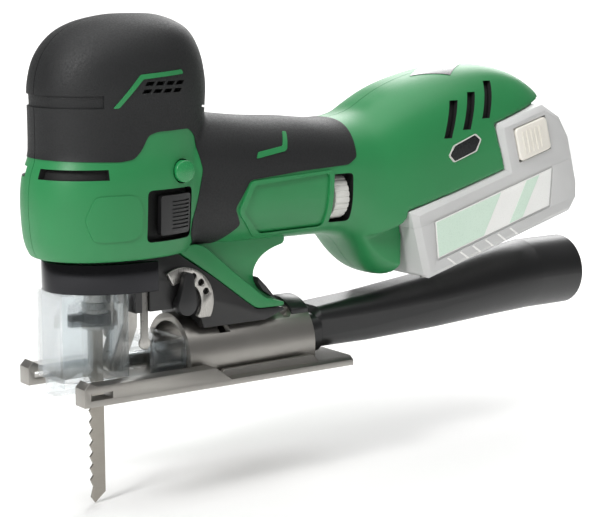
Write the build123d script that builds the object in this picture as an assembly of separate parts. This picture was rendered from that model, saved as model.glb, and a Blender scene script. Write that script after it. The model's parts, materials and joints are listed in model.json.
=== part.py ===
from build123d import *
from math import cos, sin, radians, sqrt, pi
import os

# Cordless barrel-grip jigsaw, millimetres. The front is -Y, the visible side +X, up +Z.
# The origin lies on the sole plane, on the axis of the blade plunger.

# ---- fits ----
clear = 0.4               # gap round parts that slide or push in the shells
run_fit = 0.06            # radial gap of a shaft in its bore
slot_play = 0.3           # gap of a pin or key in its slot
press_gap = 0.2           # gap round a screw head
skin_t = 2.0              # thickness of the soft skins and inlays
shell_t = 4.5             # depth from the outer form to the inside of the housing
reach = 60.0              # longer than anything a cutter must pass through

# ---- sole, arch and tilt ----
sole_half = 34.0
sole_front = -25.0
sole_back = 142.5
plate_t = 3.0
horn_w = 9.5              # width of each arm beside the blade
mouth_back = 14.0
tail_cut = 5.5
tail_step = 10.0
rib_top = 10.0
rib_end = 50.0
nose_rise = 2.0
nose_run = (3.0, 7.0)     # where the raised nose of each arm starts and ends
inner_rib_x = (24.0, 26.5)
inner_rib_side = [(56, 2.5), (60, 6.5), (116, 7), (120, 2.5)]
fence_y = (-21.5, -9.5)
fence_t = 3.4
tilt_z = 12.0             # height of the tilt axis
arch_r = 21.5
arch_wall = 4.0
arch_front = 43.0
arch_back = 121.0
arch_gap = 0.5
saddle_gap = arch_gap + 0.2
slot_angle = 57.0         # half angle of the tilt slot, over 45 to clear the screw
screw_y = 66.0
screw_shaft = 3.0
screw_z = (24.0, 28.4, 44.0)
screw_head = 5.0
hex_size = 2.3
hex_depth = 2.8
slot_half = screw_shaft + slot_play
key_window = 6.0
cap_ring_t = 2.0
cap_ring_l = 11.0
cap_ring_half = 15.0
notch_r = 3.5
notch_at = (107.0, 30.0)

# ---- head ----
head_y = 15.0
head_half_w = 33.0
head_half_l = 45.0
head_base = 68.0
head_top = 186.0
dome_r = 28.0

# ---- barrel and foot ----
barrel_half = 30.0
barrel_top = 132.0
barrel_low = 68.0
foot_half = 36.0
toe_half = 24.0
badge_t = 0.6
# distance back, low, high, half width, corner radius
barrel_run = [
    (38, 72, 137, barrel_half - 2, 20), (60, 68.5, 136, barrel_half - 0.5, 21),
    (88, barrel_low, 133, barrel_half, 22), (113, barrel_low, barrel_top - 0.5, barrel_half, 22),
    (156, barrel_low, barrel_top - 1, barrel_half + 0.5, 22),
]
foot_run = [
    (140, 66, 128.5, 29.5, 20), (150, 58, 131, 31, 20), (160, 40, 134, 32.5, 21),
    (174, 34, 142, 34.5, 22), (195, 34, 149, foot_half, 24), (216, 34, 154, foot_half, 26),
    (240, 34, 155.5, foot_half, 27), (254, 34, 154, 35.5, 27), (269, 34, 149, 34, 26),
    (280, 34, 142.5, 31, 24),
]
# side outlines as (y, z)
foot_side = [
    (139, 200), (282, 200), (280, 139), (276, 135), (240, 126), (243, 101), (178, 80),
    (177, 67), (139, 67),
]
toe_side = [(143, 74), (154, 62), (167, 49), (176, 44), (179, 46), (177.5, 84), (150, 90)]
brace_half = 20.0
brace_side = [
    (35, 68.5), (58, 53.5), (78, 38.5), (84.5, 34), (101, 33.5), (103, 36), (94.5, 39.5),
    (88.5, 43.5), (85.3, 48), (85, 53), (87, 57.5), (91, 61.5), (97, 64.5), (106, 66.5), (106, 74),
    (60, 74),
]
cap_region_side = [
    (-60, 119), (-2, 117), (6, 119), (15, 129.5), (38, 130), (44, 122), (46, 112), (47, 142),
    (90, 142), (90, 200), (-60, 200),
]
grip_region_side = [
    (46, 112), (44, 100), (40, 76), (50, 66), (61, 71), (70, 80), (65, 89), (74, 103),
    (104, 105.5), (137, 107), (141, 110), (141, 142), (47, 142),
]
badge_side = [(199, 108), (203, 104.5), (221, 110), (224, 116), (220, 119), (203, 113.5)]
accent_side = [(-4, 134), (2, 134), (10, 153), (34, 155), (34, 157.5), (8, 156)]
top_label_plan = [(-11, 215), (0, 197), (11, 215), (0, 233)]
vent_list = [(202, 118), (214, 123), (226, 128)]
vent_size = (4.5, 20.0, 6.5)      # width, height and lean of a foot vent
slot_window = (17.5, 108.0, 113.0)  # half width, low and high edge of the front air slot

# ---- battery ----
pack_y = 185.0
pack_z = 41.0
pack_tilt = 15.5
pack_half = 38.0
pack_len = 121.0
pack_wall = 3.0
rail_n = 39.5
block_u = 70.0
block_n = 66.0
tongue_u0 = 10.0
tongue_n = 46.0
tongue_half = 25.0
pack_gap = 0.4
case_split = 30.0
cell_r = 9.2
cell_len = 65.0
cell_step = 18.9
cell_count = 5
cell_u = 14.0
cell_n = 11.6
cell_upper_n = 27.6
latch_u = (80.0, 104.0)
latch_n = (41.0, 60.0)
latch_x = (35.0, 39.2)
latch_gap = 0.5
pack_label_side = [(8, 8), (96, 8), (104, 31), (12, 31)]
pack_screw_at = [(4.2, -30), (4.2, 30), (111, -28), (111, 28)]
pack_side = [
    (0, 3), (3, 0), (112, 0), (119, 6), (pack_len, 14), (pack_len, 42), (117, 55),
    (106, block_n), (block_u + 2, block_n), (block_u, block_n - 3), (block_u, rail_n), (0, rail_n),
]
pack_room_side = [
    (3, 2.2), (111, 2.2), (117.5, 8), (118, 41), (114, 53), (104, 62.5), (74, 62.5), (73, 37),
    (3, 37),
]
board_box = (76, 108, 38.5, 40, -29, 29)
terminal_box = (14, 44, tongue_n + 1, tongue_n + 9, -20, 20)

# ---- motor ----
motor_z = 102.0
stator_r = 23.5
stator_wall = 3.5
stator_front = 66.0
stator_back = 104.0
rotor_r = 13.0
air_gap = 0.6
pole_count = 6
pole_half = 3.0
coil_half = 5.4
coil_over = 2.5           # how far a coil stands out past each end of the core
coil_room = 0.1
shaft_r = 2.5
shaft_end = 126.0
fan_r = 21.0
fan_hub_r = 7.0
fan_y = (107.0, 108.5, 116.0)
fan_blades = 12
fan_blade_t = 1.4
bearing_r = 8.0
front_bearing = (56.0, 61.0)
back_bearing = (119.0, 124.0)
bearing_seat = 0.05
rib_half = 26.0

# ---- gears, crank and plunger ----
pinion_teeth = 8
gear_teeth = 48
module = 1.0
gear_y = 24.0
gear_t = 7.0
gear_z = motor_z + module * (pinion_teeth + gear_teeth) / 2
gear_shaft_r = 4.0
gear_bearing_r = 9.0
gear_seat = (gear_y + gear_t + 1.5, gear_y + gear_t + 7.5)
gear_holes = 6
gear_hole_r = 3.4
gear_hole_at = 15.5
pinion_over = 0.5
carrier_half = 27.0
carrier_up = 11.0
post_z = (112.0, 120.0)
crank_r = 13.0
crank_pin_r = 3.5
yoke_front = 7.0
yoke_back = 15.0
yoke_half = 6.2
yoke_half_w = 20.0
yoke_end = 2.5
lug_half = 5.0
rod_r = 5.5
rod_top = 165.0
rod_low = 38.0
bush_r = 9.0
low_bush = (58.5, 67.5)
top_bush = (150.0, 156.0)
top_bush_r = rod_r + 4
rod_room = 0.6
roof_t = 4.8
gear_hull_half = 20.0
gear_hull_side = [
    (-22, 54), (12, 54), (12, 40), (48, 40), (52, 28), (90, 28), (102, 32), (90, 46), (80, 56),
    (64, 67.5), (-22, 67.5),
]
shoulder_box = (-23, 23, -20, 20, 56, 67.5)
drive_hollow = (-16, 16, -17, 44, 50, 80)
blade_hollow = (-12, 12, -15, 40, 38, 60)
bridge_half = 12.0

# ---- blade, clamp and roller ----
blade_tip = -59.0
blade_half = 4.0
blade_t = 1.4
blade_play = 0.05
tooth_top = 14.0
tooth_step = 6.0
tooth_deep = 1.4
tooth_set = 0.3
clamp_low = 31.0
clamp_top = 44.5
clamp_r = 6.5
ring_r = 8.2
ring_z = (clamp_low + 2, clamp_low + 8)
ring_lever = (2.5, -14.0, -6.0)
roller_r = 5.0
roller_half = 3.2
roller_pin_r = 2.0
roller_y = blade_half + roller_r + 0.12
roller_z = 12.5
pivot_y = 17.0
pivot_z = 47.0
pivot_r = 2.5
cheek_x = (3.7, 6.5)
cheek_side = [
    (6.6, 8.5), (12, 8.5), (20.5, 30), (21, 50), (13, 50), (12.6, 32), (8.4, 19), (6.6, 15.5),
]

# ---- orbital setting ----
lever_y = 38.0
lever_z = 42.3
lever_r = 5.3
lever_tip_r = 2.8
lever_tip = (39.2, 55.8)
lever_x = (22.8, 27.0)
lever_neck = 21.2
quad_r = 18.5
quad_bore = 11.0
quad_x = (gear_hull_half, 22.3)
quad_sector = [(38, 42), (22, 72), (62, 72), (62, 34), (48, 34)]
quad_hole_r = 1.7
quad_hole_at = 14.8
quad_angles = (64, 42, 20)

# ---- front band, cover, chute and struts ----
band_half_w = 29.5
band_half_l = 41.5
band_t = 3.0
band_z = (52.0, 67.0)
band_back = 20.0
strut_x = (17.0, 18.6)
strut_y = (16.0, 20.0)
strut_z = (24.0, 53.8)
cover_plan = [(-16.5, 10), (-16.5, -19), (-12, -26), (12, -26), (16.5, -19), (16.5, 10)]
cover_wall = [(14.5, 10), (14.5, -18.2), (11, -24), (-11, -24), (-14.5, -18.2), (-14.5, 10)]
cover_low = 8.0
cover_top = 51.6
guard_half = 4.8
guard_front = (-25.8, -20.0)
guard_lift = 0.2
chute_half = 16.5
chute_front = 23.0
chute_top = 23.5
chute_wall = 2.0
ear_x = 22.0
lamp_box = (-6, 6, -21.5, -15.5, 50, 53.8)

# ---- dust adapter and hex key ----
port_r = 20.5
port_bore = 18.0
port_y0 = 288.0
port_y1 = 320.0
port_z = 29.5
duct_wall = 2.0
# distance back, low, high, half width, corner radius
duct_front = [(98, 6.5, 22.5, 13, 6), (124, 6.5, 22.5, 13, 6)]
duct_middle = [
    (124, 6.5, 22.5, 13, 6), (131, 6, 28.5, 14.5, 7), (165, 5.5, 31, 15.5, 9), (215, 6.5, 37, 17.5, 13),
    (255, 8, 44.5, 19, 17),
    (port_y0, port_z - port_r, port_z + port_r, port_r, port_r - 0.2),
]
collar_run = [(124, 4, 25, 15.5, 8), (130, 4, 25.5, 15.5, 8)]
collar_wall = 2.7
key_x = -30.2
key_z = 6.2
key_r = 2.0
key_y = 66.0
key_len = 66.0
key_bend = 16.0
clip_at = (76.0, 112.0)
clip_l = 6.0
clip_half = 3.2

# ---- controls set into the shells ----
pad_y0 = 18.5
pad_y1 = 38.0
pad_z0 = 80.0
pad_z1 = 99.5
pad_x = (27.0, 34.0)
pad_travel = 4.5
groove_count = 5
groove_w = 1.4
groove_deep = 0.8
groove_step = 3.3
button_y = 33.0
button_z = 110.5
button_r = 5.4
button_x = (25.0, 34.5)
dial_y0 = 127.5
dial_y1 = 136.5
dial_x = 18.2
dial_z = 90.0
dial_r = 12.5
dial_grooves = 24
knurl_r = 0.7
switch_bar_box = (-27, 27, 22, 28, 84, 92)
switch_body_box = (-12, 12, 33, 46, 75, 84)
controller_box = (-22, 22, 156, 178, 92, 118)
screw_head_r = 3.0
screw_r = 1.6
screw_head_t = 1.8
screw_tip = 8.0
boss_r = 4.0
# y, z and half spread of each housing screw
screw_list = [(53.5, 80, 25.6), (112, 76, 24.3), (150, 78, 30.0), (150, 122, 27.0)]

parts = {}


def block(x0, x1, y0, y1, z0, z1):
    return Pos((x0 + x1) / 2, (y0 + y1) / 2, (z0 + z1) / 2) * Box(x1 - x0, y1 - y0, z1 - z0)


def rod_x(r, x0, x1, y, z):
    return Pos((x0 + x1) / 2, y, z) * Rot(0, 90, 0) * Cylinder(r, x1 - x0)


def rod_y(r, y0, y1, x, z):
    return Pos(x, (y0 + y1) / 2, z) * Rot(90, 0, 0) * Cylinder(r, y1 - y0)


def rod_z(r, z0, z1, x, y):
    return Pos(x, y, (z0 + z1) / 2) * Cylinder(r, z1 - z0)


def outline(points, corner=0.0):
    face = make_face(Polyline(*points, close=True))
    return fillet(face.vertices(), corner) if corner else face


def side_slab(points, x0, x1, corner=0.0, inset=0.0):
    """A (y, z) outline drawn along X."""
    face = outline(points, corner)
    if inset:
        face = offset(face, -inset)
    return extrude(Plane.YZ.offset(x0) * face, x1 - x0)


def duct(stations, inset=0.0, ruled=True):
    """A solid through rounded-rectangle sections (y, low z, high z, half width, corner)."""
    faces = []
    for y, z0, z1, hw, rr in stations:
        plane = Plane(origin=(0, y, (z0 + z1) / 2), x_dir=(1, 0, 0), z_dir=(0, 1, 0))
        face = RectangleRounded(2 * (hw - inset), z1 - z0 - 2 * inset, rr - inset)
        faces.append(plane * face)
    return loft(faces, ruled=ruled)


def pack_slab(points, x0, x1, corner=0.0):
    """A (u, n) outline in the battery's own tilted frame, drawn along X."""
    t = radians(pack_tilt)
    plane = Plane(origin=(x0, pack_y, pack_z), x_dir=(0, cos(t), sin(t)), z_dir=(1, 0, 0))
    return extrude(plane * outline(points, corner), x1 - x0)


def pack_block(u0, u1, n0, n1, x0, x1, corner=0.0):
    return pack_slab([(u0, n0), (u1, n0), (u1, n1), (u0, n1)], x0, x1, corner)


def pack_rod(u, n, r, x0, x1):
    t = radians(pack_tilt)
    y = pack_y + u * cos(t) - n * sin(t)
    z = pack_z + u * sin(t) + n * cos(t)
    return rod_x(r, x0, x1, y, z)


def keep(name, *shapes):
    """Stores a node as one solid or a group of separate solids."""
    solids = []
    for shape in shapes:
        solids += list(shape.solids())
    parts[name] = solids[0] if len(solids) == 1 else Compound(children=solids)


def half(shape, side):
    x0, x1 = (0, 80) if side > 0 else (-80, 0)
    return shape & block(x0, x1, -90, 400, -90, 260)


def head_block(inset=0.0):
    """A round tower with a domed top, stretched front to back."""
    r = head_half_w - inset
    z0 = head_base + inset
    z1 = head_top - inset
    bend = dome_r - inset
    corner = bend * (1 - sqrt(0.5))
    edge = [
        Line((0, z0), (r, z0)), Line((r, z0), (r, z1 - bend)),
        ThreePointArc((r, z1 - bend), (r - corner, z1 - corner), (r - bend, z1)),
        Line((r - bend, z1), (0, z1)), Line((0, z1), (0, z0)),
    ]
    tower = revolve(Plane.XZ * make_face(edge), Axis.Z)
    stretched = scale(tower, by=(1, (head_half_l - inset) / r, 1))
    return Pos(0, head_y, 0) * stretched


def foot_block(inset=0.0):
    foot = duct(foot_run, inset) & side_slab(foot_side, -60, 60, 0, inset)
    toe = side_slab(toe_side, -toe_half + inset, toe_half - inset, 0, inset)
    return foot + toe


def barrel_block(inset=0.0):
    return duct(barrel_run, inset)


def body_block(inset=0.0):
    return head_block(inset) + barrel_block(inset) + foot_block(inset)


def pack_envelope():
    """Everything the battery needs, with its gap, all the way out to the rear."""
    low = pack_block(-pack_gap, 400, -60, rail_n + pack_gap, -60, 60)
    tall = pack_block(block_u - pack_gap, 400, -60, block_n + pack_gap, -60, 60)
    tongue = pack_block(tongue_u0 - pack_gap, 400, rail_n, tongue_n + pack_gap,
                        -tongue_half - pack_gap, tongue_half + pack_gap)
    return low + tall + tongue


def shell_cuts():
    """Openings for the switch pads, light button, speed dial and vents."""
    cut = block(-reach, reach, pad_y0 - pad_travel - clear, pad_y1 + clear,
                pad_z0 - clear, pad_z1 + clear)
    cut = cut + rod_x(button_r + clear, 10, reach, button_y, button_z)
    side = 3 * clear
    window = dial_r + clear
    cut = cut + block(14, reach, dial_y0 - side, dial_y1 + side, dial_z - window, dial_z + window)
    width, height, lean = vent_size
    for y, z in vent_list:
        slit = [(y, z), (y + width, z), (y + width + lean, z + height), (y + lean, z + height)]
        cut = cut + side_slab(slit, -reach, reach)
    half_w, low, high = slot_window
    return cut + block(-half_w, half_w, -40, -24, low, high)


def make_shells():
    outer = body_block()
    inner = body_block(shell_t)
    core = body_block(skin_t)
    well = Pos(0, head_y, head_base - 1) * extrude(
        Ellipse(head_half_w - shell_t, head_half_l - shell_t), shell_t + 3)
    cuts = shell_cuts()
    skin = (outer - core) - cuts
    holes = screw_holes()
    cap = (skin & side_slab(cap_region_side, -reach, reach)) - patch_regions()["accent_strips"]
    grip = (skin & side_slab(grip_region_side, -reach, reach)) - holes
    patches = {}
    taken = cap + grip
    for name, region in patch_regions().items():
        patch = skin & region
        taken = taken + patch
        patches[name] = patch
    brace = side_slab(brace_side, -brace_half, brace_half)
    saddle = rod_y(arch_r + saddle_gap, arch_front - 3, arch_back + 4, 0, tilt_z)
    brace = brace - outer - saddle
    body = outer - inner - well - cuts - taken
    body = body + motor_ribs() + (screw_bosses() & body_block(shell_t - 0.5))
    rod_way = rod_z(rod_r + rod_room, top_bush[0], head_top - roof_t, 0, 0)
    body = body - holes - pack_envelope() - rod_way
    return cap, grip, body, brace, patches


def patch_regions():
    """Flush inlays: side badges, the label on top of the foot and the head's accent strips."""
    badge = side_slab(badge_side, -reach, reach)
    strip = side_slab(accent_side, -reach, reach)
    top = extrude(Pos(0, 0, 140) * outline(top_label_plan), 30)
    return {"foot_badges": badge, "accent_strips": strip, "top_label": top}


def motor_ribs():
    """Cross walls inside the barrel that seat the motor's bearings."""
    ribs = None
    hole = bearing_r + bearing_seat
    for y0, y1 in (front_bearing, back_bearing):
        wall = block(-rib_half, rib_half, y0, y1, barrel_low + 3, barrel_top - 3)
        wall = (wall & barrel_block(shell_t - 0.5)) - rod_y(hole, y0 - 1, y1 + 1, 0, motor_z)
        ribs = wall if ribs is None else ribs + wall
    return ribs


def make_gear_housing():
    """The dark casting under the head: shoulder, lower block and the bridge for the low bush."""
    half_w = gear_hull_half
    hull = side_slab(gear_hull_side, -half_w, half_w) + block(*shoulder_box)
    hull = hull - block(*drive_hollow) - block(*blade_hollow)
    hull = hull - rod_y(arch_r + arch_gap, 30, 130, 0, tilt_z)
    hull = hull - side_slab(brace_side, -half_w - 0.5, half_w + 0.5)
    hull = hull - rod_z(screw_shaft, 20, screw_z[2] + 2, 0, screw_y)
    low, high = low_bush
    bridge = block(-16, 16, -bridge_half, bridge_half, low + 0.5, high - 0.5)
    bridge = bridge - rod_z(bush_r, low - 8, high + 3, 0, 0)
    room = Ellipse(band_half_w - band_t - slot_play, band_half_l - band_t - slot_play)
    inside = extrude(Pos(0, head_y, 40) * room, 40)
    hull = hull - (block(-reach, reach, -reach, band_back + slot_play, 51, 70) - inside)
    for s in (-1, 1):
        x0, x1 = sorted((s * (strut_x[0] - 0.2), s * 30))
        hull = hull - block(x0, x1, strut_y[0] - 0.3, strut_y[1] + 0.3, 20, 54)
    return hull + bridge


def gear_wheel(teeth, r_bore, y0, y1, x, z, turn=0.0):
    """A spur gear about an axis along Y."""
    pitch = module * teeth / 2
    root = pitch - 1.25 * module
    tip = pitch + 0.8 * module
    wheel = rod_y(root, y0, y1, x, z)
    foot_w = 0.46 * pi * module / 2
    tip_w = 0.17 * pi * module / 2
    for i in range(teeth):
        face = Polygon((root - 0.4, -foot_w), (tip, -tip_w), (tip, tip_w), (root - 0.4, foot_w),
                       align=None)
        tooth = extrude(Plane.XZ * Rot(0, 0, turn + i * 360 / teeth) * face, y1 - y0)
        wheel = wheel + Pos(x, y1, z) * tooth
    return wheel - rod_y(r_bore, y0 - 1, y1 + 1, x, z) if r_bore else wheel


def make_motor():
    make_stator()
    rotor = rod_y(rotor_r, stator_front + 1, stator_back - 1, 0, motor_z)
    keep("rotor_core", rotor - rod_y(shaft_r, 0, 200, 0, motor_z))
    pinion_back = gear_y + gear_t + pinion_over
    shaft = rod_y(shaft_r, pinion_back, shaft_end, 0, motor_z)
    pinion = gear_wheel(pinion_teeth, 0, gear_y - pinion_over, pinion_back, 0, motor_z,
                        90 + 180 / pinion_teeth)
    keep("rotor_shaft", shaft + pinion)
    front, disc_back, back = fan_y
    fan = rod_y(fan_hub_r, front, back, 0, motor_z) + rod_y(fan_r, front, disc_back, 0, motor_z)
    fan = fan - rod_y(shaft_r, front - 5, back + 5, 0, motor_z)
    for i in range(fan_blades):
        blade = block(fan_hub_r - 1, fan_r, disc_back - 0.5, back, -fan_blade_t / 2, fan_blade_t / 2)
        fan = fan + Pos(0, 0, motor_z) * Rot(0, i * 360 / fan_blades, 0) * blade
    keep("cooling_fan", fan)
    bearings = []
    for y0, y1 in (front_bearing, back_bearing):
        race = rod_y(bearing_r, y0, y1, 0, motor_z)
        bearings.append(race - rod_y(shaft_r + run_fit, y0 - 1, y1 + 1, 0, motor_z))
    race = rod_y(gear_bearing_r, gear_seat[0], gear_seat[1], 0, gear_z)
    bearings.append(race - rod_y(gear_shaft_r + run_fit, 0, 80, 0, gear_z))
    keep("bearings", *bearings)


def make_stator():
    """A ring with poles, and a coil round each pole."""
    y0, y1 = stator_front, stator_back
    core = rod_y(stator_r, y0, y1, 0, motor_z)
    core = core - rod_y(stator_r - stator_wall, y0 - 1, y1 + 1, 0, motor_z)
    pole_out = stator_r - stator_wall + 0.5
    coils = []
    for i in range(pole_count):
        place = Pos(0, 0, motor_z) * Rot(0, i * 360 / pole_count + 30, 0)
        core = core + place * block(rotor_r + air_gap, pole_out, y0, y1, -pole_half, pole_half)
        coil = block(rotor_r + 2.2, pole_out - 1.7, y0 - coil_over, y1 + coil_over, -coil_half, coil_half)
        pole_room = pole_half + coil_room
        coil = coil - block(0, 40, y0 - coil_room, y1 + coil_room, -pole_room, pole_room)
        coils.append(place * coil)
    keep("motor_stator", core - rod_y(rotor_r + air_gap, y0 - 1, y1 + 1, 0, motor_z))
    keep("motor_coils", *coils)


def make_gear():
    wheel = gear_wheel(gear_teeth, gear_shaft_r, gear_y, gear_y + gear_t, 0, gear_z, 90)
    for i in range(gear_holes):
        place = Pos(0, gear_y + gear_t / 2, gear_z) * Rot(0, i * 360 / gear_holes + 30, 0)
        hole = place * Pos(gear_hole_at, 0, 0) * Rot(90, 0, 0) * Cylinder(gear_hole_r, gear_t + 2)
        wheel = wheel - hole
    wheel = wheel - rod_y(crank_pin_r, gear_y - 1, gear_y + gear_t + 1, crank_r, gear_z)
    keep("drive_gear", wheel)
    axle = rod_y(gear_shaft_r, gear_y - 1, gear_seat[1], 0, gear_z)
    pin = rod_y(crank_pin_r, yoke_back + clear, gear_y + gear_t, crank_r, gear_z)
    keep("crank_pins", axle, pin)
    keep_carriers()


def keep_carriers():
    """The two walls inside the head that hold the gear's bearing and the plunger's top bush."""
    w = carrier_half
    carrier = block(-w, w, gear_seat[0], gear_seat[1], gear_z - carrier_up, gear_z + carrier_up)
    carrier = carrier - rod_y(gear_bearing_r, 0, 80, 0, gear_z)
    post = block(-w, w, gear_seat[0], gear_seat[1], *post_z)
    carrier = (carrier + post) & head_block(shell_t)
    carrier = carrier - rod_x(button_r + 1, 14, 40, button_y, button_z)
    seat = block(-head_half_w + 1, head_half_w - 1, -13, 12, *top_bush)
    seat = seat - rod_z(top_bush_r, top_bush[0] - 10, top_bush[1] + 4, 0, 0)
    keep("bearing_carriers", carrier, seat & head_block(shell_t))


def make_plunger():
    z0, z1 = gear_z - yoke_half, gear_z + yoke_half
    w = yoke_half_w
    slot = crank_pin_r + slot_play
    yoke = block(-w, w, yoke_front - 1, yoke_back, z0, z1)
    yoke = yoke - block(-w + yoke_end, w - yoke_end, 0, 40, gear_z - slot, gear_z + slot)
    lug = block(-lug_half, lug_half, 0, yoke_front + 1, z0, z1)
    wall = block(-w, w, yoke_front - yoke_end, yoke_front, z0, z1)
    keep("plunger_rod", rod_z(rod_r, rod_low, rod_top, 0, 0) + yoke + lug + wall)
    bushes = []
    for r, (low, high) in ((bush_r, low_bush), (top_bush_r, top_bush)):
        bushes.append(rod_z(r, low, high, 0, 0) - rod_z(rod_r + run_fit, low - 1, high + 1, 0, 0))
    keep("plunger_bushes", *bushes)


def make_blade():
    clamp = rod_z(clamp_r, clamp_low, clamp_top, 0, 0) - rod_z(rod_r, rod_low, 60, 0, 0)
    room = blade_t / 2 + blade_play
    keep("blade_clamp", clamp - block(-room, room, -blade_half, blade_half, 0, rod_low))
    half_w, y0, y1 = ring_lever
    ring = rod_z(ring_r, *ring_z, 0, 0) + block(-half_w, half_w, y0, y1, *ring_z)
    keep("clamp_ring", ring - rod_z(clamp_r + run_fit, 0, 60, 0, 0))
    edge = [(-blade_half, rod_low), (-blade_half, tooth_top)]
    count = int((tooth_top - blade_tip - 4) / tooth_step)
    for i in range(count):
        z = tooth_top - i * tooth_step
        edge.append((-blade_half - tooth_set, z - 1))
        edge.append((-blade_half + tooth_deep, z - tooth_step + 1.2))
    edge += [(-blade_half, blade_tip + 3), (-blade_half + 2, blade_tip)]
    edge += [(blade_half, blade_tip + 5), (blade_half, rod_low)]
    keep("saw_blade", side_slab(edge, -blade_t / 2, blade_t / 2))


def make_roller():
    roller = rod_x(roller_r, -roller_half, roller_half, roller_y, roller_z)
    keep("guide_roller", roller - rod_x(roller_pin_r + run_fit, -5, 5, roller_y, roller_z))
    out = cheek_x[1]
    keep("roller_pin", rod_x(roller_pin_r, -out, out, roller_y, roller_z))
    holder = block(-out, out, 13.5, 20.5, 43, 50)
    for s in (-1, 1):
        x0, x1 = sorted((s * cheek_x[0], s * out))
        holder = holder + side_slab(cheek_side, x0, x1, 1.0)
    holder = holder - rod_x(roller_pin_r, -9, 9, roller_y, roller_z)
    holder = holder - rod_x(pivot_r + run_fit, -9, 9, pivot_y, pivot_z)
    keep("roller_holder", holder)
    keep("holder_pin", rod_x(pivot_r, -12, 12, pivot_y, pivot_z))


def make_orbit():
    """A tear-shaped lever over a steel quadrant with one hole for each other setting."""
    x0, x1 = lever_x
    tip_y, tip_z = lever_tip
    knob = rod_x(lever_r, lever_neck, x1, lever_y, lever_z)
    tip = rod_x(lever_tip_r, x0, x1, tip_y, tip_z)
    web = side_slab([(lever_y - lever_r + 0.2, lever_z + 1), (lever_y + lever_r - 0.2, lever_z + 1),
                     (tip_y + lever_tip_r - 0.1, tip_z), (tip_y - lever_tip_r + 0.1, tip_z)], x0, x1)
    keep("orbital_lever", knob + tip + web)
    q0, q1 = quad_x
    quadrant = rod_x(quad_r, q0, q1, lever_y, lever_z) - rod_x(quad_bore, q0 - 9, q1 + 9, lever_y, lever_z)
    quadrant = quadrant & side_slab(quad_sector, q0, q1)
    for angle in quad_angles:
        y = lever_y + quad_hole_at * cos(radians(angle))
        z = lever_z + quad_hole_at * sin(radians(angle))
        quadrant = quadrant - rod_x(quad_hole_r, q0 - 1, q1 + 1, y, z)
    keep("orbital_quadrant", quadrant)


def make_front():
    low, high = band_z
    ring = extrude(Pos(0, head_y, low) * Ellipse(band_half_w, band_half_l), high - low)
    bore = Ellipse(band_half_w - band_t, band_half_l - band_t)
    ring = ring - extrude(Pos(0, head_y, low - 2) * bore, high - low + 5)
    keep("front_band", ring & block(-40, 40, -reach, band_back, 40, 80))
    cover = extrude(Pos(0, 0, cover_low) * outline(cover_plan + cover_wall), cover_top - cover_low)
    keep("chip_cover", cover)
    struts = []
    y0, y1 = strut_y
    z0, z1 = strut_z
    for s in (-1, 1):
        x0, x1 = sorted((s * strut_x[0], s * strut_x[1]))
        struts.append(block(x0, x1, y0, y1, z0, z1) + rod_x(3.2, x0, x1, (y0 + y1) / 2, z0))
    keep("guard_struts", *struts)
    keep("work_lamp", block(*lamp_box))


def make_base():
    make_plate()
    make_arch()
    w = guard_half
    y0, y1 = guard_front
    guard = block(-w, w, y1, mouth_back - 0.5, guard_lift, plate_t)
    guard = guard + block(-w, w, y0, y1, guard_lift, cover_low)
    keep("splinter_guard", guard - block(-blade_t, blade_t, -8, 30, -1, 5))
    w = chute_half
    chute = block(-w, w, chute_front, arch_front, plate_t, chute_top)
    w = chute_half - chute_wall
    chute = chute - block(-w, w, chute_front - 1, arch_front + 1, 2, chute_top - chute_wall)
    for s in (-1, 1):
        x0, x1 = sorted((s * chute_half, s * ear_x))
        chute = chute + block(x0, x1, 26, 40, 11, 19)
    keep("dust_chute", chute)


def make_plate():
    """The sole with its two arms, side rails and the slot for a parallel fence."""
    w, h = sole_half, horn_w
    plan = [(-w, sole_front), (-w + h, sole_front), (-w + h, mouth_back), (w - h, mouth_back),
            (w - h, sole_front), (w, sole_front), (w, sole_back - tail_cut),
            (w - tail_step, sole_back), (-w + tail_step, sole_back), (-w, sole_back - tail_cut)]
    plate = extrude(outline(plan), plate_t)
    plate = plate - block(-12, 12, screw_y - key_window, screw_y + key_window, -1, 5)
    sink = plate_t - 0.5
    rise, run = nose_run
    rib = side_slab([(sole_front, sink), (sole_front, rib_top - 1),
                     (sole_front + rise, rib_top + nose_rise), (sole_front + run, rib_top),
                     (rib_end, rib_top), (rib_end + 10, sink)], w - h, w)
    inner = side_slab(inner_rib_side, *inner_rib_x)
    plate = plate + rib + mirror(rib, Plane.YZ) + inner + mirror(inner, Plane.YZ)
    low = plate_t + 0.2
    keep("base_plate", plate - block(-reach, reach, *fence_y, low, low + fence_t))


def make_arch():
    """The half round saddle the tool tilts on, with its slot, and the ribbed cap on its rear."""
    far = 200
    tube = rod_y(arch_r, arch_front, arch_back, 0, tilt_z) & block(-40, 40, 0, far, tilt_z, 60)
    arch = tube + block(-arch_r, arch_r, arch_front, arch_back, plate_t, tilt_z)
    in_r = arch_r - arch_wall
    bore = rod_y(in_r, 0, far, 0, tilt_z) & block(-40, 40, 0, far, tilt_z - 0.01, 60)
    bore = bore + block(-in_r, in_r, 0, far, 0, tilt_z)
    a = radians(slot_angle)
    fan = [(0, tilt_z), (60 * sin(a), tilt_z + 60 * cos(a)), (0, 90), (-60 * sin(a), tilt_z + 60 * cos(a))]
    wedge = Pos(0, screw_y + slot_half, 0) * extrude(Plane.XZ * outline(fan), 2 * slot_half)
    notch = rod_x(notch_r, 10, 40, *notch_at)
    keep("base_arch", arch - bore - wedge - notch)
    ridge = rod_y(arch_r + cap_ring_t, arch_back - cap_ring_l, arch_back, 0, tilt_z)
    ridge = ridge - rod_y(arch_r, 0, far, 0, tilt_z)
    keep("arch_cap", ridge & block(-cap_ring_half, cap_ring_half, 0, far, 26, 60))


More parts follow.
